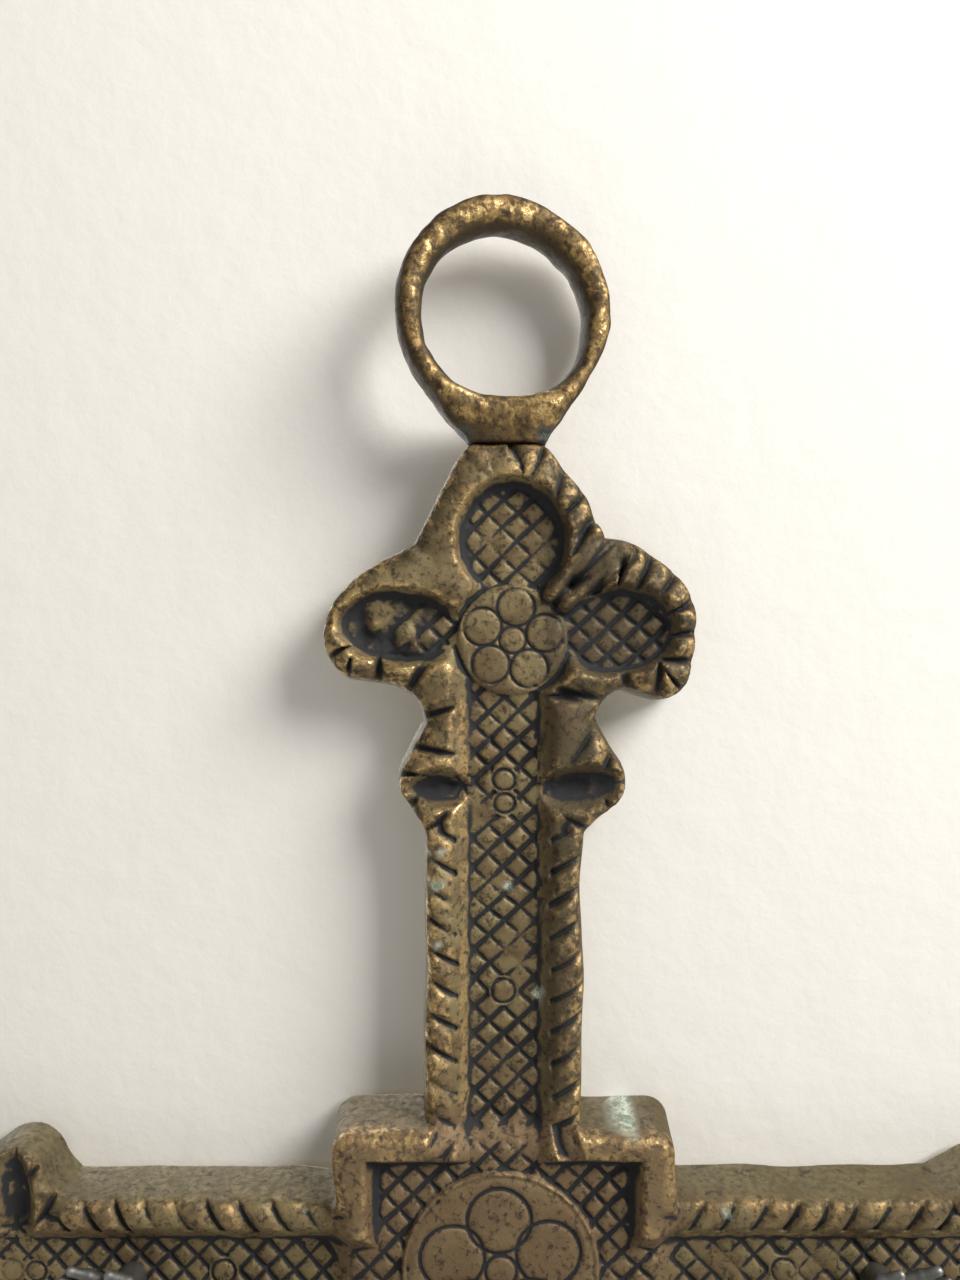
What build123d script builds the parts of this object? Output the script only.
"""Hanging altar cross: a cast brass cross, a ring brazed on its top, and a figure nailed to its front.

Row frame, in millimetres: +Z up, the front of the cross faces -Y, and the origin is the centre of
the ring's hole. In the comments below, "across" and "up" are measured from the centre of the cross,
and "depth" is measured forwards from the casting's flat back, which lies against the wall.
"""

import os
from math import cos, radians, sin

from build123d import *

# ---------------------------------------------------------------- driving dimensions
RING_TO_CENTRE = 154.0  # ring's hole down to the centre of the cross
RING_TO_BACK = 7.0  # ring's centre back to the plane of the wall

ARM_HALF = 12.5  # half the width of an arm
ARM_DEPTH = 10.5  # back of the casting to the crest of its border
BORDER = 4.7  # width of the twisted border
PANEL_SINK = 3.0  # how far the engraved panel lies below the border
PANEL_HALF = 5.6  # half the width of an arm's panel, at its floor
PANEL_DEPTH = ARM_DEPTH - PANEL_SINK

BOSS_HALF_X = 27.2  # the block at the crossing
BOSS_HALF_Z = 24.5
BOSS_RISE = 2.5  # how far it stands above the arms
BOSS_CORNER = 3.2
BOSS_PANEL_X = 21.0  # half the width of the sunk panel inside its frame
BOSS_PANEL_Z = 19.6

SHORT_REACH = 102.0  # centre of the cross to the rosette of the upper and side arms
LONG_REACH = 172.0  # the same for the lower arm

ROSETTE_R = 9.0
ROSETTE_X = 1.4  # an arm's rosette is this far right of its middle
BOSS_ROSETTE_R = 15.8
BOSS_ROSETTE_AT = (-0.5, 2.0)
ROSETTE_RISE = 0.8
PETAL_RISE = 0.4
PETALS = 5

ROPE_PITCH = 5.3
ROPE_GROOVE_R = 0.7
ROPE_LEAN = 30.0  # degrees by which a groove leans towards the arm's tip
ROPE_END = 31.0  # the straight border stops this far short of the rosette

RING_INNER_R = 13.6
RING_HALF_X = 17.7  # outside of the ring, which is a little taller than wide
RING_HALF_Z = 18.8
RING_LIFT = 0.7
RING_DEPTH = 7.4
RING_EDGE = 1.6
RING_TWIST = 12.0  # degrees by which the ring was brazed on out of line
NECK_X = 0.6  # the neck stands this far right of the middle
NECK_FOOT = 133.6  # flat top of the casting, above the centre
NECK_FOOT_SIZE = (12.6, 9.0)
NECK_HEAD_SIZE = (11.0, 6.4)
NECK_HEIGHT = 4.6
TENON_R = 2.5
TENON_LENGTH = 5.0
FIT = 0.05  # gap all round between a tenon or shank and its hole

HAND_X = 60.0  # the nails through the hands
HAND_Z = -1.0
FEET_Z = -132.5  # the nail through the feet
NAILS = {"left_hand": (-HAND_X, HAND_Z), "right_hand": (HAND_X, HAND_Z), "feet": (0.0, FEET_Z)}
SHANK_R = 1.0
SHANK_END = 0.3  # depth of the shank's tip, just inside the back plane
NAIL_HEAD_R = 2.3
NAIL_HEAD_H = 1.5
NUT_ACROSS = 4.6
NUT_HEIGHT = 1.7
NUT_WELL_R = 3.5  # pocket in the back that a nut sinks into
NUT_WELL_DEPTH = 2.8

SHOULDER = (12.6, -28.0, 21.5)  # across, up and depth of the joint between an arm and the body
ELBOW = (36.0, -14.8, 18.8)
WRIST = (53.5, -4.0, 14.0)
ARM_RADII = (4.3, 3.3, 2.4)  # at the shoulder, elbow and wrist
SOCKET_R = 1.6
SOCKET_LENGTH = 3.5
PALM_SIZE = (16.0, 8.4, 3.4)
PALM_DEPTH = 13.0  # middle of a hand
PALM_TURN = 22.0  # degrees by which a hand points up
PALM_SHIFT = 1.5  # the nail is this far inside the hand's middle
LUG_R = 2.4
FOOT_SIZE = (9.0, 19.0, 9.0)
FOOT_DEPTH = 16.1  # middle of the crossed feet
FOOT_DROP = 2.0  # the nail is this far above their middle

# Sections of the figure from its shoulders to its ankles: up, depth, half width, half thickness.
FIGURE = [
    (-27.0, 21.0, 11.0, 5.0),
    (-36.0, 21.4, 12.6, 8.2),
    (-54.0, 20.0, 9.6, 6.8),
    (-70.0, 19.6, 13.0, 8.4),
    (-86.0, 21.4, 11.4, 7.4),
    (-103.0, 22.6, 9.2, 5.6),
    (-127.0, 17.4, 5.4, 4.4),
]
HEAD = (-3.0, -14.0, 24.6)  # across, up and depth of its middle
HEAD_HALF_WIDTH = 7.8
HEAD_HALF_HEIGHT = 10.0
NECK = [(0.0, -30.0, 20.5), (-1.8, -20.0, 22.6)]
NECK_RADII = (4.8, 3.8)

# The back plane: local X is across, local Y is up from the centre of the cross, local Z is depth.
BACK = Plane(origin=(0, RING_TO_BACK, -RING_TO_CENTRE), x_dir=(1, 0, 0), z_dir=(0, -1, 0))
# The ring's own plane: local Z points out of its front, a little to the right.
RING = Plane(
    origin=(0, 0, 0),
    x_dir=(cos(radians(RING_TWIST)), sin(radians(RING_TWIST)), 0),
    z_dir=(sin(radians(RING_TWIST)), -cos(radians(RING_TWIST)), 0),
)
ON_FLOOR = (Align.CENTER, Align.CENTER, Align.MIN)
UNDER = (Align.CENTER, Align.CENTER, Align.MAX)

# Each arm's turn from upright, and the distance to its rosette.
ARMS = {0: SHORT_REACH, -90: SHORT_REACH, 180: LONG_REACH, 90: SHORT_REACH}


def save(builder, name):
    """Label a finished piece and write it."""
    builder.part.label = name
    export_step(builder.part, f"parts/{name}.step")
    print(f"{name}: {builder.part.volume:.0f} mm3")


os.makedirs("parts", exist_ok=True)


# ---------------------------------------------------------------- outlines of the casting
def arm_outline(reach):
    """An upright arm with a knop each side and a three-lobed end, from the centre of the cross.

    The points are across and up from the rosette. The right lobe is round and the left one is
    leaf-shaped, as the pattern was carved by hand.
    """

    def at(across, up):
        return (across, reach + up)

    right_knop = [at(12.5, -31.0), at(15.0, -28.6), at(18.2, -26.8), at(20.0, -24.0), at(19.9, -21.6),
                  at(17.6, -18.3), at(14.2, -13.2)]
    right_lobe = [at(14.2, -13.2), at(14.9, -10.8), at(17.3, -7.9), at(19.4, -7.1), at(22.4, -8.4),
                  at(26.2, -9.3), at(28.9, -8.0), at(30.5, -4.1), at(31.1, 0.9), at(30.5, 6.0),
                  at(28.3, 9.8), at(24.5, 13.2), at(19.9, 15.7), at(16.1, 16.1)]
    right_shoulder = [at(16.1, 16.1), at(14.6, 19.1), at(13.5, 23.0), at(10.4, 27.2), at(6.4, 31.8)]
    tip = [at(6.4, 31.8), at(0.6, 33.4), at(-5.6, 31.2)]
    left_shoulder = [at(-5.6, 31.2), at(-9.4, 24.7), at(-12.3, 19.6), at(-14.6, 15.2)]
    left_lobe = [at(-14.6, 15.2), at(-19.6, 12.8), at(-24.7, 9.0), at(-28.3, 4.7), at(-29.3, 1.0),
                 at(-28.5, -2.9), at(-26.0, -5.9), at(-21.7, -6.3), at(-16.4, -7.4), at(-13.3, -10.4),
                 at(-12.6, -13.2)]
    left_knop = [at(-12.6, -13.2), at(-15.1, -18.3), at(-16.4, -21.7), at(-16.3, -23.9), at(-14.6, -26.8),
                 at(-12.5, -30.6)]
    with BuildSketch() as face:
        with BuildLine():
            Polyline(left_knop[-1], (-ARM_HALF, 0), (ARM_HALF, 0), right_knop[0])
            for curve in (right_knop, right_lobe, right_shoulder, tip, left_shoulder, left_lobe, left_knop):
                Spline(*curve)
        make_face()
    return face.sketch


def panel_outline(reach):
    """One arm's sunk panel: a strip, a slot into each knop, the rosette's round field and three petals."""
    with BuildSketch() as face:
        with Locations((0, reach / 2)):
            Rectangle(2 * PANEL_HALF, reach)
        with Locations((-9.4, reach - 23.9), (12.2, reach - 23.6)):
            Ellipse(5.6, 2.2)
        with Locations((ROSETTE_X, reach)):
            Circle(ROSETTE_R + 0.8)
        with Locations((1.4, reach + 16.0)):
            Ellipse(8.2, 9.2)
        with Locations((-17.0, reach + 2.2)):
            Ellipse(8.7, 5.6)
        with Locations((18.6, reach + 1.8)):
            Ellipse(8.9, 6.3)
    return face.sketch


def all_arms(outline):
    """The four arms' outlines as one sketch."""
    with BuildSketch() as face:
        for turn, reach in ARMS.items():
            add(outline(reach), rotation=turn)
    return face.sketch


# ---------------------------------------------------------------- details of the casting
def add_rosette(radius, spot):
    """Add a disc with raised round petals about a middle bead, standing on the panel's floor at spot."""
    with Locations(spot):
        Cylinder(radius, ROSETTE_RISE, align=ON_FLOOR)
    with Locations(spot * Location((0, 0, ROSETTE_RISE))):
        Cylinder(0.16 * radius, PETAL_RISE, align=ON_FLOOR)
        with PolarLocations(0.55 * radius, PETALS, start_angle=90):
            Cylinder(0.31 * radius, PETAL_RISE, align=ON_FLOOR)


def rope_grooves(turn, reach):
    """Places of the leaning grooves across both borders of one arm, from the block to the knops."""
    first = BOSS_HALF_X + 3.0
    count = int((reach - ROPE_END - first) / ROPE_PITCH)
    middle = ARM_HALF - BORDER / 2
    places = []
    for side in (-1, 1):
        for i in range(count):
            groove = Location((side * middle, first + i * ROPE_PITCH, ARM_DEPTH + 0.2))
            lean = Location((0, 0, 0), (0, 0, side * ROPE_LEAN)) * Location((0, 0, 0), (0, 90, 0))
            places.append(Location((0, 0, 0), (0, 0, turn)) * groove * lean)
    return places


# ---------------------------------------------------------------- the cast cross
with BuildPart(BACK) as cross_body:
    with BuildSketch(BACK):
        add(all_arms(arm_outline))
    extrude(amount=ARM_DEPTH)
    with BuildSketch(BACK):
        RectangleRounded(2 * BOSS_HALF_X, 2 * BOSS_HALF_Z, BOSS_CORNER)
    extrude(amount=ARM_DEPTH + BOSS_RISE)
    with BuildSketch(BACK.offset(PANEL_DEPTH)):
        add(all_arms(panel_outline))
    extrude(amount=PANEL_SINK + 2 * BOSS_RISE, mode=Mode.SUBTRACT)
    with BuildSketch(BACK.offset(PANEL_DEPTH + BOSS_RISE)):
        Rectangle(2 * BOSS_PANEL_X, 2 * BOSS_PANEL_Z)
    extrude(amount=2 * PANEL_SINK, mode=Mode.SUBTRACT)
    with BuildSketch(BACK.offset(PANEL_DEPTH)):
        Rectangle(2 * BOSS_PANEL_X + 1, 2 * BOSS_PANEL_Z + 1)
    extrude(amount=BOSS_RISE)
    add_rosette(BOSS_ROSETTE_R, Location((*BOSS_ROSETTE_AT, PANEL_DEPTH + BOSS_RISE)))
    for arm_turn, arm_reach in ARMS.items():
        upright = Location((0, 0, 0), (0, 0, arm_turn))
        add_rosette(ROSETTE_R, upright * Location((ROSETTE_X, arm_reach, PANEL_DEPTH)))
        with Locations(*rope_grooves(arm_turn, arm_reach)):
            Cylinder(ROPE_GROOVE_R, BORDER + 2.5, mode=Mode.SUBTRACT)
    with Locations(*NAILS.values()):
        Cylinder(SHANK_R + FIT, 3 * ARM_DEPTH, mode=Mode.SUBTRACT)
        Cylinder(NUT_WELL_R, 2 * NUT_WELL_DEPTH, mode=Mode.SUBTRACT)
    with Locations((NECK_X, NECK_FOOT, ARM_DEPTH / 2)):
        Box(4 * ARM_HALF, 2 * TENON_LENGTH, 2 * ARM_DEPTH,
            align=(Align.CENTER, Align.MIN, Align.CENTER), mode=Mode.SUBTRACT)
        Cylinder(TENON_R + FIT, 2 * (TENON_LENGTH + FIT), rotation=(90, 0, 0), mode=Mode.SUBTRACT)
save(cross_body, "cross_body")

# ---------------------------------------------------------------- the hanging ring
neck_plane = Plane(BACK * Location((NECK_X, NECK_FOOT, ARM_DEPTH / 2), (-90, 0, 0)))
with BuildPart(neck_plane) as hanging_ring:
    with BuildSketch(RING.offset(-RING_DEPTH / 2)):
        with Locations((0, RING_LIFT)):
            Ellipse(RING_HALF_X, RING_HALF_Z)
        Circle(RING_INNER_R, mode=Mode.SUBTRACT)
    extrude(amount=RING_DEPTH)
    fillet(hanging_ring.edges().filter_by(GeomType.LINE, reverse=True), RING_EDGE)
    with BuildSketch(neck_plane) as neck_foot:
        Rectangle(*NECK_FOOT_SIZE)
    with BuildSketch(neck_plane.offset(NECK_HEIGHT)) as neck_head:
        with Locations((-NECK_X, ARM_DEPTH / 2 - RING_TO_BACK)):
            Rectangle(*NECK_HEAD_SIZE)
    loft(sections=[neck_foot.sketch, neck_head.sketch])
    Cylinder(TENON_R, TENON_LENGTH, align=UNDER)
save(hanging_ring, "hanging_ring")


# ---------------------------------------------------------------- the figure
def world(across, up, depth):
    """A point of the figure in the row frame."""
    return BACK.from_local_coords(Vector(across, up, depth))


def hand_place(side):
    """Where a hand's middle is, turned so that its fingers point outwards and up."""
    middle = (side * (HAND_X + PALM_SHIFT), HAND_Z, PALM_DEPTH)
    return BACK * Location(middle, (0, 0, side * PALM_TURN))


def add_limb(start, end, start_r, end_r):
    """Add a tapered round limb between two points of the row frame, with a round end."""
    along = end - start
    with Locations(Plane(origin=start, z_dir=along)):
        Cone(start_r, end_r, along.length, align=ON_FLOOR)
    with Locations(end):
        Sphere(end_r)


def drill_nail(spot):
    """Cut a nail's hole through the piece that is being made."""
    with Locations(BACK * Location((*spot, 0))):
        Cylinder(SHANK_R + FIT, 8 * ARM_DEPTH, mode=Mode.SUBTRACT)


def add_lug(spot, to_depth):
    """Add the round lug behind a hand or foot, which rests on the engraved panel."""
    with Locations(BACK * Location((*spot, PANEL_DEPTH))):
        Cylinder(LUG_R, to_depth - PANEL_DEPTH, align=ON_FLOOR)


def shoulder_joint(side, radius, length, mode):
    """Cut or add the round joint that runs from an arm's end into the body."""
    with Locations(Plane(origin=world(side * SHOULDER[0], *SHOULDER[1:]), z_dir=(-side, 0, 0))):
        Cylinder(radius, length, align=ON_FLOOR, mode=mode)


def cut_beyond_shoulder(side, outwards):
    """Cut away all that lies outwards of a shoulder's flat joint, or inwards of it."""
    with Locations(Plane(origin=world(side * SHOULDER[0], *SHOULDER[1:]), z_dir=(side * outwards, 0, 0))):
        Box(60, 60, 60, align=ON_FLOOR, mode=Mode.SUBTRACT)


with BuildPart() as corpus_body:
    for up, depth, half_width, half_thickness in FIGURE:
        with BuildSketch(Plane(origin=world(0, up, depth), x_dir=(1, 0, 0), z_dir=(0, 0, 1))):
            Ellipse(half_width, half_thickness)
    loft(ruled=True)
    add_limb(world(*NECK[0]), world(*NECK[1]), *NECK_RADII)
    for side in (-1, 1):
        add_limb(world(0, SHOULDER[1], SHOULDER[2]), world(side * SHOULDER[0], *SHOULDER[1:]),
                 NECK_RADII[0], ARM_RADII[0])
    with BuildSketch(Plane(origin=world(*HEAD), x_dir=(1, 0, 0), z_dir=(0, -1, 0))) as head_profile:
        Ellipse(HEAD_HALF_WIDTH, HEAD_HALF_HEIGHT)
        Rectangle(HEAD_HALF_WIDTH, 2 * HEAD_HALF_HEIGHT, align=(Align.MAX, Align.CENTER), mode=Mode.SUBTRACT)
    revolve(axis=Axis(world(*HEAD), (0, 0, 1)))
    with Locations(BACK * Location((0, FEET_Z - FOOT_DROP, FOOT_DEPTH))):
        Box(*FOOT_SIZE)
    for side in (-1, 1):
        cut_beyond_shoulder(side, 1)
        shoulder_joint(side, SOCKET_R + FIT, SOCKET_LENGTH + FIT, Mode.SUBTRACT)
    add_lug(NAILS["feet"], FOOT_DEPTH)
    drill_nail(NAILS["feet"])
save(corpus_body, "corpus_body")

for side, hand in ((-1, "left"), (1, "right")):
    with BuildPart() as corpus_arm:
        joints = [world(side * across, up, depth) for across, up, depth in (SHOULDER, ELBOW, WRIST)]
        with Locations(joints[0]):
            Sphere(ARM_RADII[0])
        add_limb(joints[0], joints[1], *ARM_RADII[:2])
        add_limb(joints[1], joints[2], *ARM_RADII[1:])
        with Locations(hand_place(side)):
            Box(*PALM_SIZE)
        cut_beyond_shoulder(side, -1)
        shoulder_joint(side, SOCKET_R, SOCKET_LENGTH, Mode.ADD)
        add_lug(NAILS[f"{hand}_hand"], PALM_DEPTH)
        drill_nail(NAILS[f"{hand}_hand"])
    save(corpus_arm, f"corpus_{hand}_arm")

# ---------------------------------------------------------------- nails and nuts
HEAD_DEPTHS = {"left_hand": PALM_DEPTH + PALM_SIZE[2] / 2, "right_hand": PALM_DEPTH + PALM_SIZE[2] / 2,
               "feet": FOOT_DEPTH + FOOT_SIZE[2] / 2}
for place, spot in NAILS.items():
    with BuildPart(BACK) as nail:
        with Locations((*spot, SHANK_END)):
            Cylinder(SHANK_R, HEAD_DEPTHS[place] - SHANK_END, align=ON_FLOOR)
        with Locations((*spot, HEAD_DEPTHS[place])):
            Cone(NAIL_HEAD_R, 0.6 * NAIL_HEAD_R, NAIL_HEAD_H, align=ON_FLOOR)
    save(nail, f"nail_{place}")
    with BuildPart(BACK) as nut:
        with Locations((*spot, NUT_WELL_DEPTH)):
            Box(NUT_ACROSS, NUT_ACROSS, NUT_HEIGHT, align=UNDER)
            Cylinder(SHANK_R + FIT, 3 * NUT_HEIGHT, mode=Mode.SUBTRACT)
    save(nut, f"nut_{place}")
